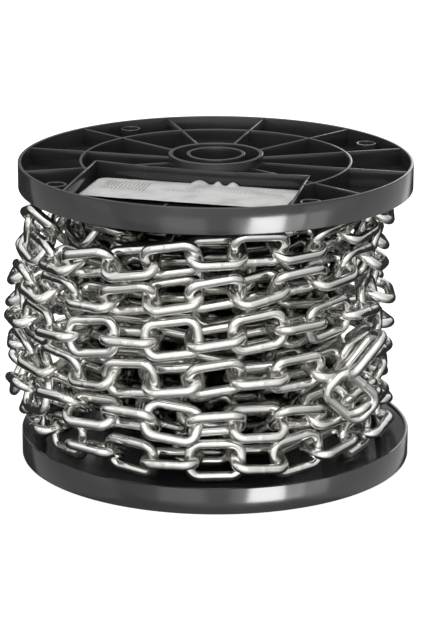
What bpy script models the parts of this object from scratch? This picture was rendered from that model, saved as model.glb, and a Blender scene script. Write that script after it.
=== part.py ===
"""A black plastic reel wound with bright steel chain, standing on one of its flanges.

Lengths are metres and +Z is up. The origin is the middle of the whole part's box, on the floor,
and the front, where the label pocket opens, looks towards -Y. Azimuths are degrees from the
front, positive towards +X, and the chain's run is counted on past 360 for each further turn.
"""

import math

import bmesh
import bpy
from mathutils import Matrix, Vector

# The reel
REEL_X = 0.0045  # the reel's axis, off the origin because the load bulges towards -X
REEL_HEIGHT = 0.154  # from rim to rim
REEL_TURN = math.radians(-15)  # the ribs' grid, turned about the axis
FLANGE_RADIUS = 0.100
FLANGE_DEPTH = 0.0132
RIM_WALL = 0.0018
LIP = 0.0015  # how far the rim stands past the web on the chain's side
WEB = 0.0027
RIB = 0.0015
RIB_COUNT = 12
BORE_RADIUS = 0.0130
BORE_RING_RADIUS = 0.0149
HUB_RADIUS = 0.0240
HUB_WALL = 0.0022
HUB_RISE = 0.0030  # how far the top hub stands above the rim
MID_RADIUS = 0.0690
BARREL_RADIUS = 0.0320
BARREL_WALL = 0.0030
FLANGE_STEPS = 48
BARREL_STEPS = 32

# The label pocket and the small round bosses in each flange, seen before the flange is turned
POCKET_BACK = ((-0.0571, -0.0188), (-0.0280, -0.0242), (0.0160, -0.0242), (0.0524, -0.0215))
POCKET_SIDES = (-0.0524, 0.0601)  # where the side walls would pass POCKET_REACH in front of the axis
POCKET_REACH = 0.110
BOSS_ORBIT = 0.0905
BOSS_RADIUS = 0.0054
BOSS_WALL = 0.0014
BOSS_DROP = 0.0020  # how far a boss ends below the rim's edge
BOSS_COUNT = 4
BOSS_STEPS = 10
POCKET_RIB_RISE = 0.0010  # of the low rib that the label lies on
POCKET_RIB_X = -0.0078
LABEL_SIZE = (0.1040, 0.0378, 0.0005)
LABEL_BACK = -0.0248
LABEL_OFFSET = -0.0015  # the label lies a little left in its pocket

# One link, and how links follow each other
WIRE_RADIUS = 0.00250
LINK_LENGTH = 0.0308
LINK_WIDTH = 0.0214
CORNER_CUT = 0.0050
FACET_GROWTH = 1.15  # makes the four-sided wire about as thick as the round one
PITCH = 0.0210
JOIN_STRETCH = 0.0018  # frees the first link of a turn from the last link of the turn above

# The outer layer's run: its free end, then one line for each turn, from the top one down
TURN_RADII = (0.0900, 0.0885, 0.0900, 0.0890, 0.0905, 0.0870)
TURN_SHIFTS = (0.009, 0.008, 0.009, 0.008, 0.009, 0.004)  # how far each turn bulges towards -X
TURN_TWISTS = (125, 35, 90, 30, 45, 0)  # of the link at the front, 0 lies flat on the load
FREE_END = ((-70, 0.1298), (-80, 0.1240), (-84, 0.1168), (-64, 0.1163))
AZIMUTH_STEP = 45
FIRST_AZIMUTH = -180
TURN_HEIGHTS = (
    (None, None, None, 0.1185, 0.129, 0.131, 0.1317, 0.129),
    (0.125, 0.109, 0.0978, 0.1018, 0.109, 0.112, 0.111, 0.109),
    (0.104, 0.0885, 0.0792, 0.0825, 0.088, 0.089, 0.088, 0.087),
    (0.084, 0.0710, 0.0608, 0.0633, 0.066, 0.065, 0.066, 0.065),
    (0.063, 0.0475, 0.0419, 0.0453, 0.0430, 0.0426, 0.043, 0.043),
    (0.0395, 0.0262, 0.0238, 0.0236, 0.0232, 0.0232, 0.0232, 0.0232),
)
LAST_HEIGHT = 0.0232
RUN_SAMPLES = 24  # between two way points
WOBBLE = 0.0006  # how far links stray from the run
TWIST_WOBBLE = 7  # degrees

# The inner turns, hidden behind the outer layer, as one plain ring
CORE_RADIUS = 0.0727
CORE_SHIFT = 0.0062
CORE_STEPS = 40
CLEARANCE = 0.0003

PARTS_NAME = "reel_of_steel_chain"
HELPERS_NAME = "reel_helpers"


def clear_scene():
    for obj in list(bpy.data.objects):
        bpy.data.objects.remove(obj, do_unlink=True)


def new_collection(name):
    collection = bpy.data.collections.new(name)
    bpy.context.scene.collection.children.link(collection)
    return collection


def new_material(name, colour, roughness, metallic=0.0):
    material = bpy.data.materials.new(name)
    material.use_nodes = True
    shader = material.node_tree.nodes["Principled BSDF"]
    shader.inputs["Base Color"].default_value = (*colour, 1.0)
    shader.inputs["Roughness"].default_value = roughness
    shader.inputs["Metallic"].default_value = metallic
    return material


def mesh_object(name, bm, collection, material=None):
    """An object made from a bmesh, which is freed."""
    bmesh.ops.recalc_face_normals(bm, faces=bm.faces)
    mesh = bpy.data.meshes.new(name)
    bm.to_mesh(mesh)
    bm.free()
    obj = bpy.data.objects.new(name, mesh)
    collection.objects.link(obj)
    if material:
        mesh.materials.append(material)
    return obj


def helper(name, bm):
    """A guide or cutter, which shapes a part and isn't one itself."""
    obj = mesh_object(name, bm, helpers)
    obj.hide_render = True
    obj.display_type = "WIRE"
    return obj


def add_boolean(obj, other, operation):
    modifier = obj.modifiers.new(operation.lower(), "BOOLEAN")
    modifier.operation = operation
    modifier.solver = "EXACT"
    modifier.object = other


def add_box(bm, low, high, turn=0.0):
    """A box between two corners, then turned about the reel's axis."""
    middle = (Vector(low) + Vector(high)) / 2
    size = Vector(high) - Vector(low)
    matrix = Matrix.Rotation(turn, 4, "Z") @ Matrix.Translation(middle) @ Matrix.Diagonal((*size, 1))
    bmesh.ops.create_cube(bm, size=1, matrix=matrix)


def add_cylinder(bm, radius, low, high, centre=(0.0, 0.0), steps=FLANGE_STEPS):
    matrix = Matrix.Translation((*centre, (low + high) / 2))
    bmesh.ops.create_cone(
        bm, cap_ends=True, segments=steps, radius1=radius, radius2=radius, depth=high - low, matrix=matrix
    )


def turned(name, profile, steps, collection, material=None):
    """A closed profile of (radius, height) points, outer side first, spun about Z."""
    bm = bmesh.new()
    points = [bm.verts.new((radius, 0.0, height)) for radius, height in profile]
    for start, end in zip(points, points[1:] + points[:1]):
        bm.edges.new((start, end))
    mesh = bpy.data.meshes.new(name)
    bm.to_mesh(mesh)
    bm.free()
    obj = bpy.data.objects.new(name, mesh)
    collection.objects.link(obj)
    if material:
        mesh.materials.append(material)
    screw = obj.modifiers.new("screw", "SCREW")
    screw.steps = steps
    screw.render_steps = steps
    screw.use_merge_vertices = True
    screw.merge_threshold = 0.0001
    return obj


# The reel


def flange_profile(hub_rise):
    """Rim, web, hub ring and bore ring, with the chain's side at height 0."""
    floor = LIP + WEB
    hub_top = FLANGE_DEPTH + hub_rise
    return (
        (FLANGE_RADIUS, FLANGE_DEPTH),
        (FLANGE_RADIUS, 0.0),
        (FLANGE_RADIUS - RIM_WALL, 0.0),
        (FLANGE_RADIUS - RIM_WALL, LIP),
        (BORE_RADIUS, LIP),
        (BORE_RADIUS, hub_top),
        (BORE_RING_RADIUS, hub_top),
        (BORE_RING_RADIUS, floor),
        (HUB_RADIUS - HUB_WALL, floor),
        (HUB_RADIUS - HUB_WALL, hub_top),
        (HUB_RADIUS, hub_top),
        (HUB_RADIUS, floor),
        (FLANGE_RADIUS - RIM_WALL, floor),
        (FLANGE_RADIUS - RIM_WALL, FLANGE_DEPTH),
    )


def add_pocket(bm, grow, low, high):
    """The label pocket, whose back wall bends round the hub, grown at its back and sides by a wall."""
    left, right = POCKET_SIDES
    first, *middle, last = POCKET_BACK
    corners = [(left - grow, -POCKET_REACH), (first[0] - grow, first[1] + grow)]
    corners += [(x, y + grow) for x, y in middle]
    corners += [(last[0] + grow, last[1] + grow), (right + grow, -POCKET_REACH)]
    turn = Matrix.Rotation(REEL_TURN, 4, "Z")
    lower = [bm.verts.new(turn @ Vector((x, y, low))) for x, y in corners]
    upper = [bm.verts.new(turn @ Vector((x, y, high))) for x, y in corners]
    bm.faces.new(lower)
    bm.faces.new(upper)
    for index in range(len(corners)):
        bm.faces.new((lower[index - 1], lower[index], upper[index], upper[index - 1]))


def flange_webbing(name):
    """The radial ribs and the middle ring, cut away at the pocket, with the pocket's walls."""
    low = LIP + WEB / 2
    ribs = bmesh.new()
    for index in range(RIB_COUNT):
        turn = REEL_TURN + math.tau * index / RIB_COUNT
        start = (HUB_RADIUS - HUB_WALL / 2, -RIB / 2, low)
        end = (FLANGE_RADIUS - RIM_WALL / 2, RIB / 2, FLANGE_DEPTH - 0.0003)
        add_box(ribs, start, end, turn)
    webbing = helper(name, ribs)

    mid_profile = (
        (MID_RADIUS, FLANGE_DEPTH - 0.0001),
        (MID_RADIUS, low + 0.0001),
        (MID_RADIUS - RIB, low + 0.0001),
        (MID_RADIUS - RIB, FLANGE_DEPTH - 0.0001),
    )
    ring = turned(name + "_ring", mid_profile, FLANGE_STEPS, helpers)
    ring.hide_render = True
    ring.display_type = "WIRE"
    add_boolean(webbing, ring, "UNION")

    inside = bmesh.new()
    add_pocket(inside, 0.0, low - 0.001, FLANGE_DEPTH + 0.001)
    pocket = helper(name + "_pocket", inside)
    add_boolean(webbing, pocket, "DIFFERENCE")

    walls = bmesh.new()
    add_pocket(walls, RIB, low, FLANGE_DEPTH - 0.0002)
    frame = helper(name + "_walls", walls)
    add_boolean(frame, pocket, "DIFFERENCE")
    disc = bmesh.new()
    add_cylinder(disc, FLANGE_RADIUS - RIM_WALL / 2, 0.0, FLANGE_DEPTH + 0.001)
    add_boolean(frame, helper(name + "_disc", disc), "INTERSECT")
    hub = bmesh.new()
    add_cylinder(hub, HUB_RADIUS - HUB_WALL / 2, 0.0, FLANGE_DEPTH + 0.001)
    add_boolean(frame, helper(name + "_hub", hub), "DIFFERENCE")

    low_rib = bmesh.new()
    add_box(
        low_rib,
        (POCKET_RIB_X - RIB / 2, -FLANGE_RADIUS + RIM_WALL, low),
        (POCKET_RIB_X + RIB / 2, -HUB_RADIUS + HUB_WALL / 2, LIP + WEB + POCKET_RIB_RISE),
        REEL_TURN,
    )
    return webbing, frame, helper(name + "_low_rib", low_rib)


def flange_bosses(name):
    """Four low rings near the rim."""
    rings = bmesh.new()
    holes = bmesh.new()
    top = FLANGE_DEPTH - BOSS_DROP
    for index in range(BOSS_COUNT):
        turn = REEL_TURN + math.tau * (index + 0.5) / BOSS_COUNT
        centre = (BOSS_ORBIT * math.cos(turn), BOSS_ORBIT * math.sin(turn))
        add_cylinder(rings, BOSS_RADIUS, LIP + WEB / 2, top, centre, BOSS_STEPS)
        add_cylinder(holes, BOSS_RADIUS - BOSS_WALL, LIP + WEB, top + 0.001, centre, BOSS_STEPS)
    bosses = helper(name, rings)
    add_boolean(bosses, helper(name + "_holes", holes), "DIFFERENCE")
    return bosses


def evaluated_mesh(obj, name):
    """The object's mesh with its modifiers applied."""
    evaluated = obj.evaluated_get(bpy.context.evaluated_depsgraph_get())
    mesh = bpy.data.meshes.new_from_object(evaluated)
    mesh.name = name
    return mesh


def flange_mesh(name, hub_rise, material):
    """One flange, with the chain's side at height 0 and its ribs above."""
    form = turned(name + "_form", flange_profile(hub_rise), FLANGE_STEPS, helpers, material)
    form.hide_render = True
    form.display_type = "WIRE"
    for piece in flange_webbing(name + "_webbing"):
        add_boolean(form, piece, "UNION")
    add_boolean(form, flange_bosses(name + "_bosses"), "UNION")
    return evaluated_mesh(form, name)


def make_reel(plastic):
    top = bpy.data.objects.new("top_flange", flange_mesh("top_flange", HUB_RISE, plastic))
    top.location = (REEL_X, 0.0, REEL_HEIGHT - FLANGE_DEPTH)
    bottom = bpy.data.objects.new("bottom_flange", flange_mesh("bottom_flange", 0.0, plastic))
    bottom.location = (REEL_X, 0.0, FLANGE_DEPTH)
    bottom.rotation_euler = (math.pi, 0.0, 0.0)
    parts.objects.link(top)
    parts.objects.link(bottom)

    low = FLANGE_DEPTH - LIP + CLEARANCE
    high = REEL_HEIGHT - FLANGE_DEPTH + LIP - CLEARANCE
    profile = (
        (BARREL_RADIUS, high),
        (BARREL_RADIUS, low),
        (BARREL_RADIUS - BARREL_WALL, low),
        (BARREL_RADIUS - BARREL_WALL, high),
    )
    barrel = turned("barrel", profile, BARREL_STEPS, parts, plastic)
    barrel.location = (REEL_X, 0.0, 0.0)


def make_label(paper):
    """The paper label lying on the pocket's low rib, in front of the hub."""
    width, depth, thickness = LABEL_SIZE
    bm = bmesh.new()
    low = (LABEL_OFFSET - width / 2, LABEL_BACK - depth, 0.0)
    high = (LABEL_OFFSET + width / 2, LABEL_BACK, thickness)
    add_box(bm, low, high, REEL_TURN)
    label = mesh_object("label", bm, parts, paper)
    floor = REEL_HEIGHT - FLANGE_DEPTH + LIP + WEB
    label.location = (REEL_X, 0.0, floor + POCKET_RIB_RISE + CLEARANCE)


# The chain


def run_point(azimuth, height, radius, shift):
    """A point of the run: its azimuth, height and distance from the reel's axis."""
    bulge = -shift * math.sin(math.radians(azimuth))
    return Vector((azimuth, height, radius + bulge))


def way_points():
    points = [run_point(azimuth, height, TURN_RADII[0], TURN_SHIFTS[0]) for azimuth, height in FREE_END]
    for turn, heights in enumerate(TURN_HEIGHTS):
        for step, height in enumerate(heights):
            if height is None:
                continue
            azimuth = 360 * turn + FIRST_AZIMUTH + AZIMUTH_STEP * step
            radius = TURN_RADII[turn]
            if step == 0:
                radius = (TURN_RADII[turn] + TURN_RADII[turn - 1]) / 2
            points.append(run_point(azimuth, height, radius, TURN_SHIFTS[turn]))
    last_azimuth = 360 * len(TURN_HEIGHTS) + FIRST_AZIMUTH
    points.append(run_point(last_azimuth, LAST_HEIGHT, TURN_RADII[-1], TURN_SHIFTS[-1]))
    return points


def smooth_through(points):
    """A Catmull-Rom curve through the points, as many short steps."""
    padded = [2 * points[0] - points[1], *points, 2 * points[-1] - points[-2]]
    curve = []
    for a, b, c, d in zip(padded, padded[1:], padded[2:], padded[3:]):
        for sample in range(RUN_SAMPLES):
            t = sample / RUN_SAMPLES
            curve.append(
                0.5 * (2 * b + (c - a) * t + (2 * a - 5 * b + 4 * c - d) * t**2 + (3 * (b - c) + d - a) * t**3)
            )
    curve.append(points[-1])
    return curve


def in_space(point):
    azimuth, height, radius = point
    angle = math.radians(azimuth)
    return Vector((REEL_X + radius * math.sin(angle), -radius * math.cos(angle), height))


def arc_lengths(curve):
    lengths = [0.0]
    for start, end in zip(curve, curve[1:]):
        lengths.append(lengths[-1] + (in_space(end) - in_space(start)).length)
    return lengths


def at_length(curve, lengths, length):
    """The point of the run at a length along it."""
    for index in range(1, len(lengths)):
        if lengths[index] >= length or index == len(lengths) - 1:
            share = (length - lengths[index - 1]) / (lengths[index] - lengths[index - 1])
            return curve[index - 1].lerp(curve[index], share)


def front_lengths(curve, lengths):
    """Where along the run each turn passes the front."""
    fronts = []
    for turn in range(len(TURN_HEIGHTS)):
        for index in range(1, len(curve)):
            before, after = curve[index - 1][0], curve[index][0]
            if before < 360 * turn <= after:
                share = (360 * turn - before) / (after - before)
                fronts.append(lengths[index - 1] + share * (lengths[index] - lengths[index - 1]))
                break
    return fronts


def link_places():
    """The run, and its links in order as (length along it, twist), with one at the front of each turn."""
    curve = smooth_through(way_points())
    lengths = arc_lengths(curve)
    fronts = front_lengths(curve, lengths)
    places = []
    for index in range(int(fronts[0] / PITCH), 0, -1):
        places.append((fronts[0] - index * PITCH, TURN_TWISTS[0] - 90 * index))
    for turn, front in enumerate(fronts):
        if turn + 1 < len(fronts):
            count = round((fronts[turn + 1] - front) / PITCH)
            spacing = (fronts[turn + 1] - front) / count
            change = TURN_TWISTS[turn + 1] - TURN_TWISTS[turn] - 90 * count
            drift = ((change + 90) % 180 - 90) / count
        else:
            count = int((lengths[-1] - front) / PITCH)
            spacing = PITCH
            drift = 0.0
        for index in range(count):
            places.append((front + index * spacing, TURN_TWISTS[turn] + index * (90 + drift)))
    return curve, lengths, places


def link_matrix(curve, lengths, length, twist, number):
    """Where a link lies: X along the run, Z out of the load, then twisted about X."""
    point = at_length(curve, lengths, length)
    stray = Vector((0.0, WOBBLE * math.sin(1.7 * number), WOBBLE * math.sin(2.9 * number)))
    middle = in_space(point + stray)
    behind = in_space(at_length(curve, lengths, max(length - PITCH / 2, 0.0)))
    ahead = in_space(at_length(curve, lengths, min(length + PITCH / 2, lengths[-1])))
    along = (ahead - behind).normalized()
    outward = Vector((middle.x - REEL_X, middle.y, 0.0))
    outward = (outward - along * outward.dot(along)).normalized()
    across = outward.cross(along)
    turn = Matrix((along, across, outward)).transposed().to_4x4()
    spin = math.radians(twist + TWIST_WOBBLE * math.sin(4.1 * number))
    return Matrix.Translation(middle) @ turn @ Matrix.Rotation(spin, 4, "X")


def link_mesh():
    """One link: a loop of wire with cut corners, as a closed curve turned into a mesh."""
    end = LINK_LENGTH / 2 - WIRE_RADIUS
    side = LINK_WIDTH / 2 - WIRE_RADIUS
    quarter = [(end, side - CORNER_CUT), (end - CORNER_CUT, side)]
    outline = list(quarter)
    outline += [(-x, y) for x, y in reversed(quarter)]
    outline += [(-x, -y) for x, y in quarter]
    outline += [(x, -y) for x, y in reversed(quarter)]
    curve = bpy.data.curves.new("link", "CURVE")
    curve.dimensions = "3D"
    curve.bevel_depth = WIRE_RADIUS * FACET_GROWTH
    curve.bevel_resolution = 0
    spline = curve.splines.new("POLY")
    spline.points.add(len(outline) - 1)
    for point, (x, y) in zip(spline.points, outline):
        point.co = (x, y, 0.0, 1.0)
    spline.use_cyclic_u = True
    obj = bpy.data.objects.new("link", curve)
    helpers.objects.link(obj)
    evaluated = obj.evaluated_get(bpy.context.evaluated_depsgraph_get())
    mesh = bpy.data.meshes.new_from_object(evaluated)
    bpy.data.objects.remove(obj, do_unlink=True)
    return mesh


def add_link(bm, mesh, matrix, stretch):
    """A copy of the link, with its end towards the turn above moved out by stretch."""
    before = len(bm.verts)
    bm.from_mesh(mesh)
    bm.verts.ensure_lookup_table()
    for vert in bm.verts[before:]:
        if vert.co.x < 0:
            vert.co.x -= stretch
        vert.co = matrix @ vert.co


def make_chain(steel):
    """Each turn is one body: every second link, joined by a Boolean with the ones between."""
    curve, lengths, places = link_places()
    mesh = link_mesh()
    turns = [[] for _ in TURN_HEIGHTS]
    for number, (length, twist) in enumerate(places):
        azimuth = at_length(curve, lengths, length)[0]
        turn = int((azimuth - FIRST_AZIMUTH) // 360)
        turns[turn].append(link_matrix(curve, lengths, length, twist, number))
    for turn, matrices in enumerate(turns):
        even = bmesh.new()
        odd = bmesh.new()
        for index, matrix in enumerate(matrices):
            stretch = JOIN_STRETCH if turn and index == 0 else 0.0
            add_link(odd if index % 2 else even, mesh, matrix, stretch)
        name = f"chain_turn_{turn + 1}"
        outer = mesh_object(name, even, parts, steel)
        add_boolean(outer, helper(name + "_odd_links", odd), "UNION")
    bpy.data.meshes.remove(mesh)


def make_core(steel):
    """The hidden turns as a plain ring round the barrel, as far off the axis as the load."""
    low = FLANGE_DEPTH - LIP + CLEARANCE
    high = REEL_HEIGHT - FLANGE_DEPTH + LIP - CLEARANCE
    ring = bmesh.new()
    add_cylinder(ring, CORE_RADIUS, low, high, (REEL_X - CORE_SHIFT, 0.0), CORE_STEPS)
    core = mesh_object("chain_core", ring, parts, steel)
    hole = bmesh.new()
    add_cylinder(hole, BARREL_RADIUS + CLEARANCE, low - 0.01, high + 0.01, (REEL_X, 0.0), BARREL_STEPS)
    add_boolean(core, helper("core_hole", hole), "DIFFERENCE")


clear_scene()
parts = new_collection(PARTS_NAME)
helpers = new_collection(HELPERS_NAME)
black_plastic = new_material("black_plastic", (0.030, 0.030, 0.033), 0.35)
bright_steel = new_material("bright_steel", (0.72, 0.71, 0.69), 0.16, 1.0)
label_paper = new_material("label_paper", (0.75, 0.75, 0.74), 0.6)
make_reel(black_plastic)
make_label(label_paper)
make_chain(bright_steel)
make_core(bright_steel)
for part in parts.objects:
    part.data.shade_smooth()
    part.data.set_sharp_from_angle(angle=math.radians(35))
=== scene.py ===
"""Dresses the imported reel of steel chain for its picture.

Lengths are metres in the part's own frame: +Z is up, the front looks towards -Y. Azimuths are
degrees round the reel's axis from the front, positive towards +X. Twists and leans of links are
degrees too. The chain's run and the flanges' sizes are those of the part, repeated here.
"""

import math
import random

import bmesh
import bpy
from mathutils import Matrix, Vector, noise


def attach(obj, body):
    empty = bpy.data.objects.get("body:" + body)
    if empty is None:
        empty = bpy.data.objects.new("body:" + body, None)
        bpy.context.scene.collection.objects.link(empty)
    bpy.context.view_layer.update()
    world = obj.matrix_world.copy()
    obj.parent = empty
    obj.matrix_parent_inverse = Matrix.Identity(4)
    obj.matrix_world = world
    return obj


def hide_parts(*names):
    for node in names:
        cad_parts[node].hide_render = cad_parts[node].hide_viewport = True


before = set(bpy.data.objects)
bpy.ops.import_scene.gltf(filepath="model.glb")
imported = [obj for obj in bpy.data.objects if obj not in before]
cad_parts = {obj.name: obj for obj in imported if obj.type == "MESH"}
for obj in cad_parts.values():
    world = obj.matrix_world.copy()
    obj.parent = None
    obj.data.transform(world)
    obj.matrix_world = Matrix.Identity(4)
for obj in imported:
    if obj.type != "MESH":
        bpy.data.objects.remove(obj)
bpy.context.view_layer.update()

# The reel, as in the part
REEL_X = 0.0045
REEL_HEIGHT = 0.154
REEL_TURN = math.radians(-15)
FLANGE_RADIUS = 0.100
FLANGE_DEPTH = 0.0132
RIM_WALL = 0.0018
LIP = 0.0015
WEB = 0.0027
RIB = 0.0015
RIB_COUNT = 12
BORE_RADIUS = 0.0130
BORE_RING_RADIUS = 0.0149
HUB_RADIUS = 0.0240
HUB_WALL = 0.0022
HUB_RISE = 0.0030
MID_RADIUS = 0.0690
BARREL_RADIUS = 0.0320
BARREL_WALL = 0.0030
POCKET_BACK = ((-0.0571, -0.0188), (-0.0280, -0.0242), (0.0160, -0.0242), (0.0524, -0.0215))
POCKET_SIDES = (-0.0524, 0.0601)
POCKET_REACH = 0.110
BOSS_ORBIT = 0.0905
BOSS_RADIUS = 0.0054
BOSS_WALL = 0.0014
BOSS_DROP = 0.0020
BOSS_COUNT = 4
POCKET_RIB_RISE = 0.0010
POCKET_RIB_X = -0.0078
LABEL_SIZE = (0.1040, 0.0378)
LABEL_BACK = -0.0248
LABEL_OFFSET = -0.0015
CLEARANCE = 0.0003

# How finely the reel is drawn
TURN_STEPS = 160
BARREL_STEPS = 96
BOSS_STEPS = 32
EDGE_ROUND = 0.00035
EDGE_STEPS = 2
EDGE_SHARE = 2.2  # an edge is at least this many times as long as the round at its end
SHARP_ANGLE = math.radians(50)
PARALLEL = 1e-9  # a ray and a wall with less than this between them count as parallel

# How far these stay below the rim's edge, so that no two faces coincide
RING_DROP = 0.0001
WALL_DROP = 0.0002
RIB_DROP = 0.0003

# The label's sheet. Its places run from 0 to 1, from the left and from the back edge
LABEL_CORNER = 0.0045
LABEL_GRID = (112, 40)
LABEL_LIFT = 0.0006
LABEL_THICKNESS = 0.00012
FLAPS = ((0.50, 0.045), (0.59, 0.022), (0.665, 0.030))  # torn bits of the back edge: place and half width
FLAP_RISE = 0.0019
FLAP_DEPTH = 0.10
CREASE_RISE = 0.0002
CREASES = ((60, 90, 1.0, 1.0), (330, 200, 4.0, 0.4))  # how fine along and across, seed and share

# One link, with its wire round and its ends bent in arcs
WIRE_RADIUS = 0.00250
LINK_LENGTH = 0.0308
LINK_WIDTH = 0.0214
BEND_RADIUS = 0.0055
BEND_STEPS = 7
WIRE_SIDES = 14
WELD_PLACES = (-0.0042, -0.0021, -0.0012, -0.0006, -0.00025, 0.0, 0.00025, 0.0006, 0.0012, 0.0021, 0.0042)
WELD_RISE = 0.00016
WELD_WIDTH = 0.0008
WELD_NOTCH = 0.00010
NOTCH_WIDTH = WELD_WIDTH / 5
FAR_FROM_WELD = 1.0
PITCH = 0.0210

# The outer layer's run, as in the part
TURN_RADII = (0.0900, 0.0885, 0.0900, 0.0890, 0.0905, 0.0870)
TURN_SHIFTS = (0.009, 0.008, 0.009, 0.008, 0.009, 0.004)
TURN_TWISTS = (125, 35, 90, 30, 45, 0)
FREE_END = ((-70, 0.1298), (-80, 0.1240), (-84, 0.1168), (-64, 0.1163))
FREE_END_SHIFT = 0.003  # less than in the part, so that the end hangs closer to the load
AZIMUTH_STEP = 45
FIRST_AZIMUTH = -180
TURN_HEIGHTS = (
    (None, None, None, 0.1185, 0.129, 0.131, 0.1317, 0.129),
    (0.125, 0.109, 0.0978, 0.1018, 0.109, 0.112, 0.111, 0.109),
    (0.104, 0.0885, 0.0792, 0.0825, 0.088, 0.089, 0.088, 0.087),
    (0.084, 0.0710, 0.0608, 0.0633, 0.066, 0.065, 0.066, 0.065),
    (0.063, 0.0475, 0.0419, 0.0453, 0.0430, 0.0426, 0.043, 0.043),
    (0.0395, 0.0262, 0.0238, 0.0236, 0.0232, 0.0232, 0.0232, 0.0232),
)
LAST_HEIGHT = 0.0232
RUN_SAMPLES = 24
WOBBLE = 0.0006
TWIST_WOBBLE = 7
WOBBLE_PACES = (1.7, 2.9, 4.1)  # radians from link to link, for height, distance and twist
LOOSE_TURN = 7  # degrees by which a link may be turned further than in the part
LOOSE_TWIST = 13  # and by which it may be twisted further

# Slack links that lie across the rows at the right: azimuth, distance from the axis, height, the
# azimuth that each faces, how it rises to the right, and its twist
CROSSING_LINKS = (
    (48.0, 0.0975, 0.0710, 28, 45, 74),
    (43.0, 0.0980, 0.0515, 23, -43, 6),
    (50.0, 0.0925, 0.0440, 68, 8, 66),
)

# The second layer. The part has one plain ring in place of it and of the deeper ones
INNER_RADIUS = 0.0665
INNER_SHIFT = 0.0062
INNER_ROWS = 6
INNER_LOW = 0.0236
INNER_HIGH = 0.1304
INNER_STRAY = 0.0008
INNER_TWIST = 45
INNER_TWIST_STRAY = 22
INNER_LEAN = 14
INNER_PACES = (2.3, 3.1, 1.9, 2.7)  # radians from link to link, for height, distance, twist and lean
INNER_SIDES = 10

# The deeper layers: radius and rows of each
DEEP_LAYERS = ((0.0545, 7.0), (0.0430, 7.0))
DEEP_STRAY = 0.0012
DEEP_TWIST = 30
DEEP_SEED = 4

# The photograph's camera
FRAME_HEIGHT = 631
FOCAL_PIXELS = 2821.2
SENSOR = 36.0
CAMERA_TARGET = (REEL_X - 0.0025, 0.0, 0.0714)
CAMERA_DISTANCE = 1.4496
CAMERA_ELEVATION = math.radians(16.63)
CAMERA_ROLL = math.radians(0.13)
CAMERA_CLIP = (0.05, 30.0)

# The studio: name, azimuth, distance, height, size and brightness of each soft light
LIT_POINT = (0.0, 0.0, 0.08)  # which all of them face
LIGHTS = (
    ("front_softbox", -8, 2.1, 1.2, (2.6, 1.6), 1.05),
    ("left_softbox", -75, 1.7, 0.9, (1.2, 1.2), 0.5),
)
RIM_LIGHTS = (  # these draw the bands of light along the rims, and light the flanges alone
    ("low_strip", 27.8, 0.62, -0.075, (0.215, 0.26), 20.0),
    ("low_shoulder", 44, 0.62, -0.075, (0.11, 0.26), 4.2),
    ("low_side", 57, 0.62, -0.075, (0.14, 0.26), 1.8),
    ("low_fill", 13, 0.62, -0.075, (0.09, 0.26), 1.6),
    ("low_left", -17, 0.62, -0.075, (0.27, 0.26), 1.1),
    ("back_strip", 142, 0.80, 0.0, (0.22, 0.40), 0.4),
    ("back_panel", 168, 1.25, 0.37, (0.22, 0.35), 2.0),
    ("left_card", -94, 1.0, -0.20, (1.45, 0.70), 0.50),
    ("right_card", 98, 1.0, -0.20, (2.4, 0.70), 0.80),
    ("back_card", 180, 1.6, 0.50, (1.8, 0.60), 0.30),
)
TENT_TILT = 0.50  # the white tent starts low at the front and at this slope higher towards the back
TENT_EDGE = (-0.08, 0.02)  # how high over that slope the white begins, and where it is full
TENT_WHITE = (1.07, 0.38)  # straight ahead or behind, and at the sides
TENT_DIM = (0.45, 0.03)  # below the tent at the front, and at the sides and the back
TENT_FALL = (-0.85, 0.05)  # how far along Y a direction points where it has these two values
FLOOR_GLOW = 0.55
FLOOR_SIZE = 6.0
FLOOR_DROP = 0.0002
FLOOR_COLOUR = (0.93, 0.93, 0.93)
FLOOR_ROUGHNESS = 0.7
FLOOR_SHINE = 0.2
WHITE = (1.0, 1.0, 1.0, 1.0)

# Finishes. A grain is how fine a noise is and how many finer ones it holds, and a bump has its
# strength and its depth
NOISE_REACH = (0.3, 0.7)  # nearly all of a noise lies between these
LINK_SHADE = 0.35  # how far one link's shade may lie from another's
STEEL_PATCHES = (60.0, 5.0)
STEEL_POLISH = (220.0, 3.0)
STEEL_ROUGHNESS = (0.11, 0.22)
STEEL_SKIN = (900.0, 2.0)
STEEL_BUMP = (0.12, 0.0002)
PLASTIC = ((0.3, (0.018, 0.018, 0.019)), (0.6, (0.024, 0.024, 0.025)), (0.8, (0.033, 0.033, 0.034)))
PLASTIC_PATCHES = (26.0, 6.0)
PLASTIC_POLISH = (45.0, 3.0)
PLASTIC_ROUGHNESS = (0.10, 0.20)
PLASTIC_SKIN = (80.0, 2.0)
PLASTIC_BUMP = (0.02, 0.0001)
PAPER = ((0.3, (0.48, 0.48, 0.475)), (0.5, (0.61, 0.61, 0.60)), (0.8, (0.70, 0.70, 0.69)))
PAPER_PATCHES = (90.0, 5.0)
PAPER_ROUGHNESS = 0.6
PAPER_SKIN = (500.0, 4.0)
PAPER_BUMP = (0.4, 0.0003)
HATCH_FIELDS = (  # middle and half width, middle and half depth, strokes and strength
    (0.17, 0.11, 0.34, 0.22, 360, 0.50),
    (0.46, 0.10, 0.42, 0.05, 300, 0.25),
    (0.80, 0.14, 0.24, 0.13, 330, 0.22),
)
HATCH_GREY = (0.08, 0.08, 0.08, 1.0)
HATCH_GRAIN = (150.0, 2.0)
HATCH_WAVER = 9.0
HATCH_EDGE = (-0.5, 0.5)  # where on its wave a stroke starts, and where it is full
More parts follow.
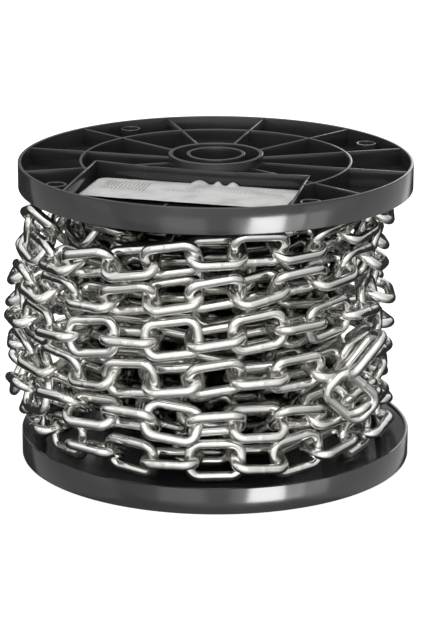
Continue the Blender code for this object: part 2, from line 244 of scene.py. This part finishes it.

# Steel by share of light patch: the layers inside are darker, as painted shade for the shade that falls
# between the turns
OUTER_STEEL = ((0.35, (0.70, 0.695, 0.655)), (0.55, (0.79, 0.785, 0.75)), (0.85, (0.86, 0.855, 0.83)))
SHADED_MIDDLE_STEEL = ((0.35, (0.36, 0.358, 0.32)), (0.55, (0.50, 0.497, 0.46)), (0.85, (0.66, 0.657, 0.63)))
SHADED_INNER_STEEL = ((0.35, (0.15, 0.148, 0.13)), (0.55, (0.26, 0.257, 0.23)), (0.85, (0.42, 0.417, 0.39)))


# Meshes


def shown_object(name, mesh, material):
    """An object of the part, which rides on the frame."""
    mesh.materials.clear()
    mesh.materials.append(material)
    obj = bpy.data.objects.new(name, mesh)
    bpy.context.scene.collection.objects.link(obj)
    obj.data.shade_smooth()
    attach(obj, "root")
    return obj


def rounded_corner(before, corner, after):
    """The points that take a profile's corner round."""
    first = Vector(before) - Vector(corner)
    second = Vector(after) - Vector(corner)
    reach = min(EDGE_ROUND, first.length / EDGE_SHARE, second.length / EDGE_SHARE)
    start = Vector(corner) + first.normalized() * reach
    end = Vector(corner) + second.normalized() * reach
    points = []
    for step in range(EDGE_STEPS + 1):
        t = step / EDGE_STEPS
        points.append(start * (1 - t) ** 2 + Vector(corner) * 2 * t * (1 - t) + end * t**2)
    return points


def rounded_profile(profile):
    points = []
    for index, corner in enumerate(profile):
        points += rounded_corner(profile[index - 1], corner, profile[(index + 1) % len(profile)])
    return points


def add_turned(bm, profile, centre=(0.0, 0.0), steps=TURN_STEPS, start=0.0, sweep=math.tau):
    """A closed profile of (radius, height) points spun about Z, in full or as an arc with flat ends."""
    points = rounded_profile(profile)
    whole = sweep >= math.tau
    rings = []
    for step in range(steps if whole else steps + 1):
        angle = start + sweep * step / steps
        cosine, sine = math.cos(angle), math.sin(angle)
        rings.append([bm.verts.new((centre[0] + r * cosine, centre[1] + r * sine, z)) for r, z in points])
    pairs = list(zip(rings, rings[1:]))
    if whole:
        pairs.append((rings[-1], rings[0]))
    else:
        bm.faces.new(rings[0])
        bm.faces.new(rings[-1])
    for one, other in pairs:
        for index in range(len(points)):
            bm.faces.new((one[index - 1], one[index], other[index], other[index - 1]))


def add_block(bm, matrix):
    """A cube of side 1 set by a matrix, with its edges rounded."""
    made = bmesh.ops.create_cube(bm, size=1, matrix=matrix)
    edges = list({edge for vert in made["verts"] for edge in vert.link_edges})
    bmesh.ops.bevel(bm, geom=edges, offset=EDGE_ROUND, segments=EDGE_STEPS, affect="EDGES", profile=0.5)


def add_slab(bm, low, high, turn):
    """A block between two corners, turned about Z."""
    middle = (Vector(low) + Vector(high)) / 2
    size = Vector(high) - Vector(low)
    add_block(bm, Matrix.Rotation(turn, 4, "Z") @ Matrix.Translation(middle) @ Matrix.Diagonal((*size, 1)))


def add_wall(bm, start, end, low, high, turn):
    """A thin upright wall along a line seen from above, turned about Z."""
    along = end - start
    middle = Vector((*((start + end) / 2), (low + high) / 2))
    facing = Matrix.Rotation(math.atan2(along.y, along.x), 4, "Z")
    size = Matrix.Diagonal((along.length + RIB, RIB, high - low, 1))
    add_block(bm, Matrix.Rotation(turn, 4, "Z") @ Matrix.Translation(middle) @ facing @ size)


# The reel


def flange_profile(hub_rise):
    """Rim, web, hub ring and bore ring, with the chain's side at height 0."""
    floor = LIP + WEB
    hub_top = FLANGE_DEPTH + hub_rise
    return (
        (FLANGE_RADIUS, FLANGE_DEPTH),
        (FLANGE_RADIUS, 0.0),
        (FLANGE_RADIUS - RIM_WALL, 0.0),
        (FLANGE_RADIUS - RIM_WALL, LIP),
        (BORE_RADIUS, LIP),
        (BORE_RADIUS, hub_top),
        (BORE_RING_RADIUS, hub_top),
        (BORE_RING_RADIUS, floor),
        (HUB_RADIUS - HUB_WALL, floor),
        (HUB_RADIUS - HUB_WALL, hub_top),
        (HUB_RADIUS, hub_top),
        (HUB_RADIUS, floor),
        (FLANGE_RADIUS - RIM_WALL, floor),
        (FLANGE_RADIUS - RIM_WALL, FLANGE_DEPTH),
    )


def pocket_walls():
    """The lines of the pocket's walls, a little outside its room: left side, back and right side."""
    left, right = POCKET_SIDES
    first, *middle, last = POCKET_BACK
    half = RIB / 2
    corners = [(left - half, -POCKET_REACH), (first[0] - half, first[1] + half)]
    corners += [(x, y + half) for x, y in middle]
    corners += [(last[0] + half, last[1] + half), (right + half, -POCKET_REACH)]
    return [(Vector(start), Vector(end)) for start, end in zip(corners, corners[1:])]


def crossings(direction):
    """How far from the axis a ray meets the pocket's walls, nearest first."""
    found = []
    for start, end in pocket_walls():
        wall = end - start
        turn = direction.x * wall.y - direction.y * wall.x
        if abs(turn) < PARALLEL:
            continue
        reach = (start.x * wall.y - start.y * wall.x) / turn
        share = (start.x * direction.y - start.y * direction.x) / turn
        if reach > 0 and 0 <= share <= 1:
            found.append(reach)
    return sorted(found)


def rib_stretches(angle):
    """Where a rib stands, as (from, to) radii: it is left out across the label pocket."""
    inner = HUB_RADIUS - HUB_WALL / 2
    outer = FLANGE_RADIUS - RIM_WALL / 2
    met = [reach for reach in crossings(Vector((math.cos(angle), math.sin(angle)))) if reach < outer]
    if not met:
        return [(inner, outer)]
    stretches = [(inner, met[0])]
    if len(met) > 1:
        stretches.append((met[1], outer))
    return [(start, end) for start, end in stretches if end - start > 2 * RIB]


def add_ribs(bm):
    low = LIP + WEB / 2
    for index in range(RIB_COUNT):
        angle = math.tau * index / RIB_COUNT
        for start, end in rib_stretches(angle):
            add_slab(bm, (start, -RIB / 2, low), (end, RIB / 2, FLANGE_DEPTH - RIB_DROP), REEL_TURN + angle)


def entry(outside, inside, radius):
    """Where the line from one point to another comes within a radius of the axis."""
    step = inside - outside
    a, b, c = step.dot(step), 2 * outside.dot(step), outside.dot(outside) - radius**2
    return outside + step * (-b - math.sqrt(b * b - 4 * a * c)) / (2 * a)


def add_middle_ring(bm):
    """The ring between hub and rim, which ends at the pocket's sides."""
    walls = pocket_walls()
    radius = MID_RADIUS - RIB / 2
    left = entry(walls[0][0], walls[0][1], radius)
    right = entry(walls[-1][1], walls[-1][0], radius)
    start = math.atan2(right.y, right.x)
    sweep = (math.atan2(left.y, left.x) - start) % math.tau
    profile = (
        (MID_RADIUS, FLANGE_DEPTH - RING_DROP),
        (MID_RADIUS, LIP + WEB / 2),
        (MID_RADIUS - RIB, LIP + WEB / 2),
        (MID_RADIUS - RIB, FLANGE_DEPTH - RING_DROP),
    )
    add_turned(bm, profile, start=REEL_TURN + start, sweep=sweep)


def add_pocket(bm):
    """The label pocket's back and side walls and its low rib."""
    low = LIP + WEB / 2
    high = FLANGE_DEPTH - WALL_DROP
    rim = FLANGE_RADIUS - RIM_WALL / 2
    walls = pocket_walls()
    walls[0] = (entry(walls[0][0], walls[0][1], rim - RIB / 2), walls[0][1])
    walls[-1] = (walls[-1][0], entry(walls[-1][1], walls[-1][0], rim - RIB / 2))
    for start, end in walls:
        add_wall(bm, start, end, low, high, REEL_TURN)
    rib_start = (POCKET_RIB_X - RIB / 2, -FLANGE_RADIUS + RIM_WALL, low)
    rib_end = (POCKET_RIB_X + RIB / 2, -HUB_RADIUS + HUB_WALL / 2, LIP + WEB + POCKET_RIB_RISE)
    add_slab(bm, rib_start, rib_end, REEL_TURN)


def add_bosses(bm):
    top = FLANGE_DEPTH - BOSS_DROP
    low = LIP + WEB / 2
    inner = BOSS_RADIUS - BOSS_WALL
    profile = ((BOSS_RADIUS, top), (BOSS_RADIUS, low), (inner, low), (inner, top))
    for index in range(BOSS_COUNT):
        turn = REEL_TURN + math.tau * (index + 0.5) / BOSS_COUNT
        centre = (BOSS_ORBIT * math.cos(turn), BOSS_ORBIT * math.sin(turn))
        add_turned(bm, profile, centre, BOSS_STEPS)


def moulding(bm, name, matrix, material):
    """A moulded piece of the reel, set in place by a matrix."""
    bmesh.ops.recalc_face_normals(bm, faces=bm.faces)
    bm.transform(matrix)
    mesh = bpy.data.meshes.new(name)
    bm.to_mesh(mesh)
    bm.free()
    return shown_object(name, mesh, material)


def make_flange(node, hub_rise, matrix, material):
    """One flange, drawn with its chain's side at height 0."""
    bm = bmesh.new()
    add_turned(bm, flange_profile(hub_rise))
    add_ribs(bm)
    add_middle_ring(bm)
    add_pocket(bm)
    add_bosses(bm)
    flange = moulding(bm, node + "_moulding", matrix, material)
    flange.data.set_sharp_from_angle(angle=SHARP_ANGLE)
    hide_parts(node)
    return flange


def make_barrel(material):
    bm = bmesh.new()
    low = FLANGE_DEPTH - LIP + CLEARANCE
    high = REEL_HEIGHT - FLANGE_DEPTH + LIP - CLEARANCE
    inner = BARREL_RADIUS - BARREL_WALL
    profile = ((BARREL_RADIUS, high), (BARREL_RADIUS, low), (inner, low), (inner, high))
    add_turned(bm, profile, steps=BARREL_STEPS)
    barrel = moulding(bm, "barrel_tube", Matrix.Translation((REEL_X, 0.0, 0.0)), material)
    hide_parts("barrel")


def make_reel(material):
    """Both flanges, which it returns, and the barrel between them."""
    top = Matrix.Translation((REEL_X, 0.0, REEL_HEIGHT - FLANGE_DEPTH))
    bottom = Matrix.Translation((REEL_X, 0.0, FLANGE_DEPTH)) @ Matrix.Rotation(math.pi, 4, "X")
    flanges = [make_flange("top_flange", HUB_RISE, top, material)]
    flanges.append(make_flange("bottom_flange", 0.0, bottom, material))
    make_barrel(material)
    return flanges


# The chain's run, as in the part


def run_point(azimuth, height, radius, shift):
    """A point of the run: its azimuth, height and distance from the reel's axis."""
    bulge = -shift * math.sin(math.radians(azimuth))
    return Vector((azimuth, height, radius + bulge))


def way_points():
    points = [run_point(azimuth, height, TURN_RADII[0], FREE_END_SHIFT) for azimuth, height in FREE_END]
    for turn, heights in enumerate(TURN_HEIGHTS):
        for step, height in enumerate(heights):
            if height is None:
                continue
            azimuth = 360 * turn + FIRST_AZIMUTH + AZIMUTH_STEP * step
            radius = TURN_RADII[turn]
            if step == 0:
                radius = (TURN_RADII[turn] + TURN_RADII[turn - 1]) / 2
            points.append(run_point(azimuth, height, radius, TURN_SHIFTS[turn]))
    last_azimuth = 360 * len(TURN_HEIGHTS) + FIRST_AZIMUTH
    points.append(run_point(last_azimuth, LAST_HEIGHT, TURN_RADII[-1], TURN_SHIFTS[-1]))
    return points


def smooth_through(points):
    """A Catmull-Rom curve through the points, as many short steps."""
    padded = [2 * points[0] - points[1], *points, 2 * points[-1] - points[-2]]
    curve = []
    for a, b, c, d in zip(padded, padded[1:], padded[2:], padded[3:]):
        for sample in range(RUN_SAMPLES):
            t = sample / RUN_SAMPLES
            squared = (2 * a - 5 * b + 4 * c - d) * t**2
            cubed = (3 * (b - c) + d - a) * t**3
            curve.append(0.5 * (2 * b + (c - a) * t + squared + cubed))
    curve.append(points[-1])
    return curve


def in_space(point):
    azimuth, height, radius = point
    angle = math.radians(azimuth)
    return Vector((REEL_X + radius * math.sin(angle), -radius * math.cos(angle), height))


def arc_lengths(curve):
    lengths = [0.0]
    for start, end in zip(curve, curve[1:]):
        lengths.append(lengths[-1] + (in_space(end) - in_space(start)).length)
    return lengths


def at_length(curve, lengths, length):
    """The point of the run at a length along it."""
    for index in range(1, len(lengths)):
        if lengths[index] >= length or index == len(lengths) - 1:
            share = (length - lengths[index - 1]) / (lengths[index] - lengths[index - 1])
            return curve[index - 1].lerp(curve[index], share)


def front_lengths(curve, lengths):
    """Where along the run each turn passes the front."""
    fronts = []
    for turn in range(len(TURN_HEIGHTS)):
        for index in range(1, len(curve)):
            before, after = curve[index - 1][0], curve[index][0]
            if before < 360 * turn <= after:
                share = (360 * turn - before) / (after - before)
                fronts.append(lengths[index - 1] + share * (lengths[index] - lengths[index - 1]))
                break
    return fronts


def link_places(curve, lengths):
    """The links in order as (length along the run, twist), with one at the front of each turn."""
    fronts = front_lengths(curve, lengths)
    places = []
    for index in range(int(fronts[0] / PITCH), 0, -1):
        places.append((fronts[0] - index * PITCH, TURN_TWISTS[0] - 90 * index))
    for turn, front in enumerate(fronts):
        if turn + 1 < len(fronts):
            count = round((fronts[turn + 1] - front) / PITCH)
            spacing = (fronts[turn + 1] - front) / count
            change = TURN_TWISTS[turn + 1] - TURN_TWISTS[turn] - 90 * count
            drift = ((change + 90) % 180 - 90) / count
        else:
            count = int((lengths[-1] - front) / PITCH)
            spacing = PITCH
            drift = 0.0
        for index in range(count):
            places.append((front + index * spacing, TURN_TWISTS[turn] + index * (90 + drift)))
    return places


def link_matrix(curve, lengths, length, twist, number):
    """Where a link lies: X along the run, Z out of the load, then twisted about X and turned loosely."""
    high, far, twisted = (math.sin(pace * number) for pace in WOBBLE_PACES)
    middle = in_space(at_length(curve, lengths, length) + Vector((0.0, WOBBLE * high, WOBBLE * far)))
    behind = in_space(at_length(curve, lengths, max(length - PITCH / 2, 0.0)))
    ahead = in_space(at_length(curve, lengths, min(length + PITCH / 2, lengths[-1])))
    along = (ahead - behind).normalized()
    outward = Vector((middle.x - REEL_X, middle.y, 0.0))
    outward = (outward - along * outward.dot(along)).normalized()
    across = outward.cross(along)
    turn = Matrix((along, across, outward)).transposed().to_4x4()
    chance = random.Random(number)
    spin = math.radians(twist + TWIST_WOBBLE * twisted + chance.uniform(-1, 1) * LOOSE_TWIST)
    pitch, yaw = (math.radians(chance.uniform(-1, 1) * LOOSE_TURN) for _ in range(2))
    loose = Matrix.Rotation(yaw, 4, "Z") @ Matrix.Rotation(pitch, 4, "Y") @ Matrix.Rotation(spin, 4, "X")
    return Matrix.Translation(middle) @ turn @ loose


# Links


def link_stations():
    """The wire's middle line round one link: x, y, direction out of the loop, distance from the weld."""
    end = LINK_LENGTH / 2 - WIRE_RADIUS
    side = LINK_WIDTH / 2 - WIRE_RADIUS
    stations = [(x, side, math.pi / 2, x) for x in reversed(WELD_PLACES)]
    corners = ((-1, 1, math.pi / 2), (-1, -1, math.pi), (1, -1, -math.pi / 2), (1, 1, 0.0))
    for x_sign, y_sign, start in corners:
        centre = (x_sign * (end - BEND_RADIUS), y_sign * (side - BEND_RADIUS))
        for step in range(BEND_STEPS + 1):
            angle = start + math.pi / 2 * step / BEND_STEPS
            x = centre[0] + BEND_RADIUS * math.cos(angle)
            y = centre[1] + BEND_RADIUS * math.sin(angle)
            stations.append((x, y, angle, FAR_FROM_WELD))
    return stations


def wire_radius(from_weld):
    """The weld leaves a low swelling with a fine notch in its middle."""
    swelling = WELD_RISE * math.exp(-((from_weld / WELD_WIDTH) ** 2))
    notch = WELD_NOTCH * math.exp(-((from_weld / NOTCH_WIDTH) ** 2))
    return WIRE_RADIUS + swelling - notch


def link_form(sides):
    """One link's points and faces, with the wire drawn by that many sides."""
    stations = link_stations()
    points = []
    for x, y, angle, from_weld in stations:
        out = Vector((math.cos(angle), math.sin(angle), 0.0))
        radius = wire_radius(from_weld)
        for side in range(sides):
            turn = math.tau * side / sides
            offset = out * math.cos(turn) + Vector((0.0, 0.0, math.sin(turn)))
            points.append(Vector((x, y, 0.0)) + offset * radius)
    faces = []
    for number in range(len(stations)):
        here = number * sides
        following = (number + 1) % len(stations) * sides
        for side in range(sides):
            other = (side + 1) % sides
            faces.append((here + side, here + other, following + other, following + side))
    return points, faces


def chain_mesh(name, matrices, form):
    """All links of a stretch in one mesh, with a random value for each link."""
    points, faces = form
    all_points = []
    all_faces = []
    shades = []
    chance = random.Random(name)
    for matrix in matrices:
        base = len(all_points)
        all_points += [matrix @ point for point in points]
        all_faces += [tuple(base + index for index in face) for face in faces]
        shades += [chance.random()] * len(points)
    mesh = bpy.data.meshes.new(name)
    mesh.from_pydata(all_points, [], all_faces)
    mesh.attributes.new("link_shade", "FLOAT", "POINT").data.foreach_set("value", shades)
    return mesh


def make_outer_layer(material):
    curve = smooth_through(way_points())
    lengths = arc_lengths(curve)
    turns = [[] for _ in TURN_HEIGHTS]
    for number, (length, twist) in enumerate(link_places(curve, lengths)):
        azimuth = at_length(curve, lengths, length)[0]
        turn = int((azimuth - FIRST_AZIMUTH) // 360)
        turns[turn].append(link_matrix(curve, lengths, length, twist, number))
    form = link_form(WIRE_SIDES)
    for turn, matrices in enumerate(turns):
        name = f"chain_links_{turn + 1}"
        links = shown_object(name, chain_mesh(name, matrices, form), material)
        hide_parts(f"chain_turn_{turn + 1}")


def make_crossing_links(material):
    matrices = []
    for azimuth, distance, height, facing, rise, twist in CROSSING_LINKS:
        matrices.append(
            Matrix.Translation(in_space((azimuth, height, distance)))
            @ Matrix.Rotation(math.radians(facing), 4, "Z")
            @ Matrix.Rotation(math.radians(-rise), 4, "Y")
            @ Matrix.Rotation(math.radians(90 + twist), 4, "X")
        )
    mesh = chain_mesh("crossing_links", matrices, link_form(WIRE_SIDES))
    links = shown_object("crossing_links", mesh, material)
    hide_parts("chain_turn_4")


def wound_matrix(angle, reach, height, spin):
    """Where a link of an inner layer lies: along the turn, spun about its own length."""
    return (
        Matrix.Translation((REEL_X - INNER_SHIFT, 0.0, height))
        @ Matrix.Rotation(angle, 4, "Z")
        @ Matrix.Translation((0.0, -reach, 0.0))
        @ Matrix.Rotation(math.radians(spin), 4, "X")
    )


def second_layer():
    """The second layer's links, wound as a helix and turned loosely."""
    step = PITCH / INNER_RADIUS
    count = int(math.tau * INNER_ROWS / step)
    matrices = []
    for number in range(count):
        high, far, twisted, leaning = (math.sin(pace * number) for pace in INNER_PACES)
        height = INNER_LOW + (INNER_HIGH - INNER_LOW) * number / count + INNER_STRAY * high
        reach = INNER_RADIUS + INNER_STRAY * far
        spin = INNER_TWIST + 90 * number + INNER_TWIST_STRAY * twisted
        lean = Matrix.Rotation(math.radians(INNER_LEAN * leaning), 4, "Z")
        matrices.append(wound_matrix(number * step, reach, height, spin) @ lean)
    return matrices


def deep_layer(radius, rows, chance):
    """The links of a deeper layer, wound as a helix that strays a little."""
    step = PITCH / radius
    count = int(math.tau * rows / step)
    matrices = []
    for number in range(count):
        height = INNER_LOW + (INNER_HIGH - INNER_LOW) * number / count + chance.uniform(-1, 1) * DEEP_STRAY
        reach = radius + chance.uniform(-1, 1) * DEEP_STRAY
        spin = INNER_TWIST + 90 * number + chance.uniform(-1, 1) * DEEP_TWIST
        matrices.append(wound_matrix(number * step, reach, height, spin))
    return matrices


def make_inner_layers(second, deeper):
    """The chain behind the outer layer: its second layer, and all of the deeper ones."""
    chance = random.Random(DEEP_SEED)
    form = link_form(INNER_SIDES)
    layers = [second_layer()]
    layers += [deep_layer(radius, rows, chance) for radius, rows in DEEP_LAYERS]
    for number, matrices in enumerate(layers):
        name = f"inner_links_{number + 1}"
        # The layers inside take darker steel, which is painted shade
        material = deeper if number else second
        links = shown_object(name, chain_mesh(name, matrices, form), material)
        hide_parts("chain_core")


# The label


def sheet_point(u, v):
    """A point of the label, where u runs along it from the left and v from its back edge to its front."""
    width, depth = LABEL_SIZE
    from_corner = max(0.0, LABEL_CORNER - u * width)
    round_off = LABEL_CORNER - math.sqrt(LABEL_CORNER**2 - from_corner**2)
    x = LABEL_OFFSET + width * (u - 0.5)
    y = LABEL_BACK - round_off - (depth - round_off) * v
    crease = sum(
        share * noise.noise(Vector((x * along, y * across, seed))) for along, across, seed, share in CREASES
    )
    flap = sum(max(0.0, 1.0 - ((u - place) / half) ** 2) for place, half in FLAPS)
    z = LABEL_LIFT + CREASE_RISE * crease + FLAP_RISE * flap * max(0.0, 1.0 - v / FLAP_DEPTH)
    return Vector((x, y, z))


def make_label(material):
    """A creased sheet of paper that lies on the pocket's low rib, its back edge torn in places."""
    columns, rows = LABEL_GRID
    places = [(column / columns, row / rows) for row in range(rows + 1) for column in range(columns + 1)]
    faces = []
    for row in range(rows):
        for column in range(columns):
            here = row * (columns + 1) + column
            faces.append((here, here + columns + 1, here + columns + 2, here + 1))
    mesh = bpy.data.meshes.new("paper_label")
    mesh.from_pydata([sheet_point(u, v) for u, v in places], [], faces)
    spread = mesh.attributes.new("sheet", "FLOAT_VECTOR", "POINT")
    spread.data.foreach_set("vector", [value for u, v in places for value in (u, v, 0.0)])
    rib_top = REEL_HEIGHT - FLANGE_DEPTH + LIP + WEB + POCKET_RIB_RISE
    seat = Matrix.Translation((REEL_X, 0.0, rib_top + CLEARANCE))
    mesh.transform(seat @ Matrix.Rotation(REEL_TURN, 4, "Z"))
    label = shown_object("paper_label", mesh, material)
    thick = label.modifiers.new("thickness", "SOLIDIFY")
    thick.thickness = LABEL_THICKNESS
    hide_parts("label")


# Materials


def node_material(name, colour, roughness, metallic=0.0):
    """A plain material, its node tree and its shader."""
    material = bpy.data.materials.new(name)
    material.use_nodes = True
    tree = material.node_tree
    shader = tree.nodes["Principled BSDF"]
    shader.inputs["Base Color"].default_value = (*colour, 1.0)
    shader.inputs["Roughness"].default_value = roughness
    shader.inputs["Metallic"].default_value = metallic
    return material, tree, shader


def noise_node(tree, scale, detail):
    texture = tree.nodes.new("ShaderNodeTexNoise")
    texture.inputs["Scale"].default_value = scale
    texture.inputs["Detail"].default_value = detail
    coordinates = tree.nodes.new("ShaderNodeTexCoord")
    tree.links.new(coordinates.outputs["Object"], texture.inputs["Vector"])
    return texture.outputs["Fac"]


def ranged(tree, value, low, high, start=0.0, end=1.0):
    """A value taken from the range (start, end) to the range (low, high)."""
    node = tree.nodes.new("ShaderNodeMapRange")
    node.inputs["From Min"].default_value = start
    node.inputs["From Max"].default_value = end
    node.inputs["To Min"].default_value = low
    node.inputs["To Max"].default_value = high
    tree.links.new(value, node.inputs["Value"])
    return node.outputs["Result"]


def maths(tree, operation, *values):
    """A maths node on numbers and other nodes' outputs."""
    node = tree.nodes.new("ShaderNodeMath")
    node.operation = operation
    for socket, value in zip(node.inputs, values):
        if isinstance(value, (int, float)):
            socket.default_value = value
        else:
            tree.links.new(value, socket)
    return node.outputs[0]


def ramp(tree, value, stops):
    node = tree.nodes.new("ShaderNodeValToRGB")
    elements = node.color_ramp.elements
    while len(elements) < len(stops):
        elements.new(0.5)
    for element, (place, colour) in zip(elements, stops):
        element.position = place
        element.color = (*colour, 1.0)
    tree.links.new(value, node.inputs["Fac"])
    return node.outputs["Color"]


def uneven_polish(tree, shader, grain, roughness):
    """Roughness that changes in patches between two values."""
    rough = ranged(tree, noise_node(tree, *grain), *roughness, *NOISE_REACH)
    tree.links.new(rough, shader.inputs["Roughness"])


def uneven_skin(tree, shader, grain, strength, distance):
    node = tree.nodes.new("ShaderNodeBump")
    node.inputs["Strength"].default_value = strength
    node.inputs["Distance"].default_value = distance
    tree.links.new(noise_node(tree, *grain), node.inputs["Height"])
    tree.links.new(node.outputs["Normal"], shader.inputs["Normal"])


def steel_material(name, stops):
    """Bright wire: a little darker and duller in patches, with each link of its own shade."""
    material, tree, shader = node_material(name, stops[-1][1], STEEL_ROUGHNESS[0], 1.0)
    shade = tree.nodes.new("ShaderNodeAttribute")
    shade.attribute_name = "link_shade"
    patches = noise_node(tree, *STEEL_PATCHES)
    mixed = maths(tree, "MULTIPLY_ADD", shade.outputs["Fac"], LINK_SHADE, patches)
    tree.links.new(ramp(tree, mixed, stops), shader.inputs["Base Color"])
    uneven_polish(tree, shader, STEEL_POLISH, STEEL_ROUGHNESS)
    uneven_skin(tree, shader, STEEL_SKIN, *STEEL_BUMP)
    return material


def plastic_material():
    """Black moulded plastic, shiny, with faint patches and a slightly uneven skin."""
    material, tree, shader = node_material("moulded_plastic", PLASTIC[1][1], PLASTIC_ROUGHNESS[0])
    patches = noise_node(tree, *PLASTIC_PATCHES)
    tree.links.new(ramp(tree, patches, PLASTIC), shader.inputs["Base Color"])
    uneven_polish(tree, shader, PLASTIC_POLISH, PLASTIC_ROUGHNESS)
    uneven_skin(tree, shader, PLASTIC_SKIN, *PLASTIC_BUMP)
    return material


def hatch(tree):
    """Fields of fine grey strokes, which say nothing."""
    sheet = tree.nodes.new("ShaderNodeAttribute")
    sheet.attribute_name = "sheet"
    split = tree.nodes.new("ShaderNodeSeparateXYZ")
    tree.links.new(sheet.outputs["Vector"], split.inputs["Vector"])
    u, v, _ = split.outputs
    waver = maths(tree, "MULTIPLY", noise_node(tree, *HATCH_GRAIN), HATCH_WAVER)
    total = 0.0
    for middle_u, half_u, middle_v, half_v, strokes, strength in HATCH_FIELDS:
        in_u = maths(tree, "COMPARE", u, middle_u, half_u)
        in_v = maths(tree, "COMPARE", v, middle_v, half_v)
        wave = maths(tree, "SINE", maths(tree, "MULTIPLY_ADD", u, strokes, waver))
        stroke = maths(tree, "MULTIPLY", ranged(tree, wave, 0.0, strength, *HATCH_EDGE), in_u)
        total = maths(tree, "MULTIPLY_ADD", stroke, in_v, total)
    return total


def paper_material():
    """White paper with faint patches, a rough skin and the hatch."""
    material, tree, shader = node_material("creased_paper", PAPER[1][1], PAPER_ROUGHNESS)
    mix = tree.nodes.new("ShaderNodeMixRGB")
    tree.links.new(hatch(tree), mix.inputs["Fac"])
    patches = noise_node(tree, *PAPER_PATCHES)
    tree.links.new(ramp(tree, patches, PAPER), mix.inputs["Color1"])
    mix.inputs["Color2"].default_value = HATCH_GREY
    tree.links.new(mix.outputs["Color"], shader.inputs["Base Color"])
    uneven_skin(tree, shader, PAPER_SKIN, *PAPER_BUMP)
    return material


# Stage, light and camera


def make_floor():
    """A pale floor that glows a little and isn't seen in reflections."""
    bm = bmesh.new()
    bmesh.ops.create_grid(bm, x_segments=1, y_segments=1, size=FLOOR_SIZE)
    mesh = bpy.data.meshes.new("floor")
    bm.to_mesh(mesh)
    bm.free()
    floor = bpy.data.objects.new("floor", mesh)
    bpy.context.scene.collection.objects.link(floor)
    floor.location = (0.0, 0.0, -FLOOR_DROP)
    floor.visible_glossy = False
    material, _, shader = node_material("pale_floor", FLOOR_COLOUR, FLOOR_ROUGHNESS)
    shader.inputs["Specular IOR Level"].default_value = FLOOR_SHINE
    shader.inputs["Emission Color"].default_value = WHITE
    shader.inputs["Emission Strength"].default_value = FLOOR_GLOW
    mesh.materials.append(material)


def add_light(name, azimuth, distance, height, size, brightness):
    """A soft rectangle of light that faces the reel, bright by its face and not by its size."""
    angle = math.radians(azimuth)
    place = Vector((distance * math.sin(angle), -distance * math.cos(angle), height))
    data = bpy.data.lights.new(name, "AREA")
    data.shape = "RECTANGLE"
    data.size, data.size_y = size
    data.energy = brightness * math.pi * size[0] * size[1]
    light = bpy.data.objects.new(name, data)
    bpy.context.scene.collection.objects.link(light)
    light.location = place
    light.rotation_euler = (Vector(LIT_POINT) - place).to_track_quat("-Z", "Y").to_euler()
    light.visible_camera = False
    return light


def tent_strength(tree):
    """How bright the studio is by direction: a white tent above, and grey below it at the front."""
    direction = tree.nodes.new("ShaderNodeTexCoord")
    split = tree.nodes.new("ShaderNodeSeparateXYZ")
    tree.links.new(direction.outputs["Generated"], split.inputs["Vector"])
    x, y, z = split.outputs
    above = maths(tree, "MULTIPLY_ADD", y, -TENT_TILT, z)
    mix = tree.nodes.new("ShaderNodeMix")
    tree.links.new(ranged(tree, above, 0.0, 1.0, *TENT_EDGE), mix.inputs["Factor"])
    aside = maths(tree, "MULTIPLY", x, x)
    tree.links.new(ranged(tree, y, *TENT_DIM, *TENT_FALL), mix.inputs["A"])
    tree.links.new(ranged(tree, aside, *TENT_WHITE), mix.inputs["B"])
    return mix.outputs["Result"]


def make_studio():
    """The camera sees plain white behind the reel, and all else is lit by the tent."""
    world = bpy.data.worlds.new("studio")
    world.use_nodes = True
    tree = world.node_tree
    seen = tree.nodes["Background"]
    tent = tree.nodes.new("ShaderNodeBackground")
    for background in (seen, tent):
        background.inputs["Color"].default_value = WHITE
    tree.links.new(tent_strength(tree), tent.inputs["Strength"])
    path = tree.nodes.new("ShaderNodeLightPath")
    mix = tree.nodes.new("ShaderNodeMixShader")
    tree.links.new(path.outputs["Is Camera Ray"], mix.inputs["Fac"])
    tree.links.new(tent.outputs["Background"], mix.inputs[1])
    tree.links.new(seen.outputs["Background"], mix.inputs[2])
    tree.links.new(mix.outputs["Shader"], tree.nodes["World Output"].inputs["Surface"])
    bpy.context.scene.world = world


def make_lights(flanges):
    """The softboxes, and the lights that shine on the flanges alone."""
    for light in LIGHTS:
        add_light(*light)
    lit = bpy.data.collections.new("lit_by_rim_lights")
    for flange in flanges:
        lit.objects.link(flange)
    for light in RIM_LIGHTS:
        add_light(*light).light_linking.receiver_collection = lit


def make_camera():
    """The camera fitted to the rims of both flanges in the photograph."""
    data = bpy.data.cameras.new("camera")
    data.sensor_fit = "AUTO"
    data.sensor_width = SENSOR
    data.lens = FOCAL_PIXELS / FRAME_HEIGHT * SENSOR
    data.clip_start, data.clip_end = CAMERA_CLIP
    camera = bpy.data.objects.new("camera", data)
    bpy.context.scene.collection.objects.link(camera)
    back = Vector((0.0, -math.cos(CAMERA_ELEVATION), math.sin(CAMERA_ELEVATION)))
    camera.location = Vector(CAMERA_TARGET) + back * CAMERA_DISTANCE
    facing = (-back).to_track_quat("-Z", "Y").to_matrix().to_4x4()
    camera.rotation_euler = (facing @ Matrix.Rotation(CAMERA_ROLL, 4, "Z")).to_euler()
    bpy.context.scene.camera = camera


make_camera()
steel = steel_material("polished_steel", OUTER_STEEL)
plastic = plastic_material()
flanges = make_reel(plastic)
make_label(paper_material())
make_outer_layer(steel)
make_crossing_links(steel)
# Darker steels for the layers inside: painted shade between the turns, not a different finish
painted_shade_steel = steel_material("painted_shade_steel", SHADED_MIDDLE_STEEL)
shaded_steel = steel_material("shaded_steel", SHADED_INNER_STEEL)
make_inner_layers(painted_shade_steel, shaded_steel)
make_floor()
make_lights(flanges)
make_studio()
bpy.context.scene.view_settings.view_transform = "Standard"
